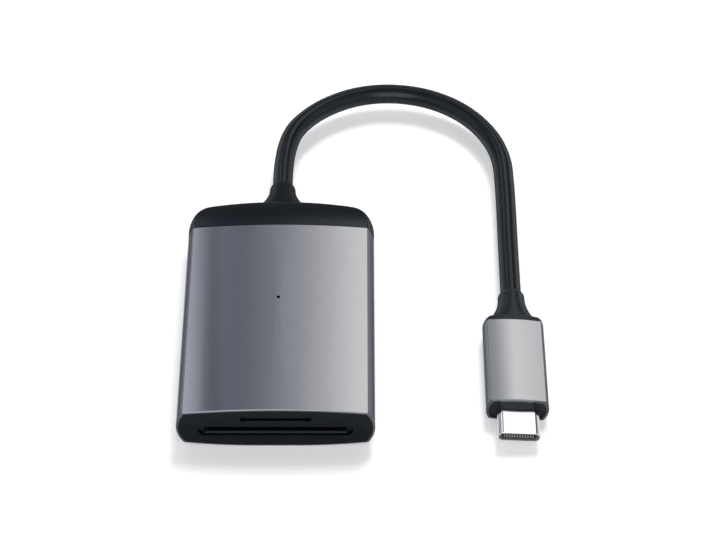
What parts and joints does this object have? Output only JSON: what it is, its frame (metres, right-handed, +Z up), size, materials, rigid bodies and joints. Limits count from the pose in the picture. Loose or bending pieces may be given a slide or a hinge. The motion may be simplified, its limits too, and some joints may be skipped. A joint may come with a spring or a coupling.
{
  "type": "usb-c card reader",
  "caption": "Flat metal-sleeved memory card reader with one wide and one narrow card slot and a short fixed cable that loops round to a USB-C plug.",
  "frame": {"origin": "under the middle of the body, on the surface that it rests on", "axes": "+X across the body towards the plug, +Y from the card slots to the cable, +Z up"},
  "size_m": [0.0716, 0.0978, 0.0108],
  "materials": {
    "anodised_sleeve": "satin anodised, bright cut edges",
    "black_plastic": "fine satin moulding",
    "soft_black": "soft matte moulding",
    "cable_jacket": "satin jacket",
    "bright_steel": "polished drawn shell",
    "socket_plastic": "glass-filled moulding",
    "cover_steel": "plain stamped sheet",
    "contact_metal": "gold flashed",
    "board_laminate": "solder mask",
    "chip_black": "moulded package",
    "crystal_can": "plain can",
    "capacitor_ceramic": "fired ceramic",
    "resistor_ceramic": "glazed ceramic",
    "light_body": "white moulding",
    "clear_post": "clear moulding",
    "wire_insulation": "extruded insulation"
  },
  "bodies": {
    "root": {"body_sleeve": "anodised_sleeve", "plug_sleeve": "anodised_sleeve", "front_bezel": "black_plastic", "rear_cap": "black_plastic", "plug_nose": "black_plastic", "cable_boot": "soft_black", "plug_boot": "soft_black", "cable": "cable_jacket", "cable_body_end": "cable_jacket", "cable_plug_end": "cable_jacket", "plug_shell": "bright_steel", "large_card_socket": "socket_plastic", "small_card_socket": "socket_plastic", "plug_insulator": "socket_plastic", "large_card_cover": "cover_steel", "small_card_cover": "cover_steel", "plug_latches": "cover_steel", "large_card_contacts": "contact_metal", "small_card_contacts": "contact_metal", "plug_contacts": "contact_metal", "main_board": "board_laminate", "paddle_board": "board_laminate", "controller_chip": "chip_black", "flash_chip": "chip_black", "regulator": "chip_black", "power_inductor": "chip_black", "paddle_chip": "chip_black", "crystal": "crystal_can", "chip_capacitors": "capacitor_ceramic", "paddle_capacitors": "capacitor_ceramic", "chip_resistors": "resistor_ceramic", "status_led": "light_body", "light_pipe": "clear_post", "cable_wires": "wire_insulation", "plug_wires": "wire_insulation"}
  },
  "joints": []
}
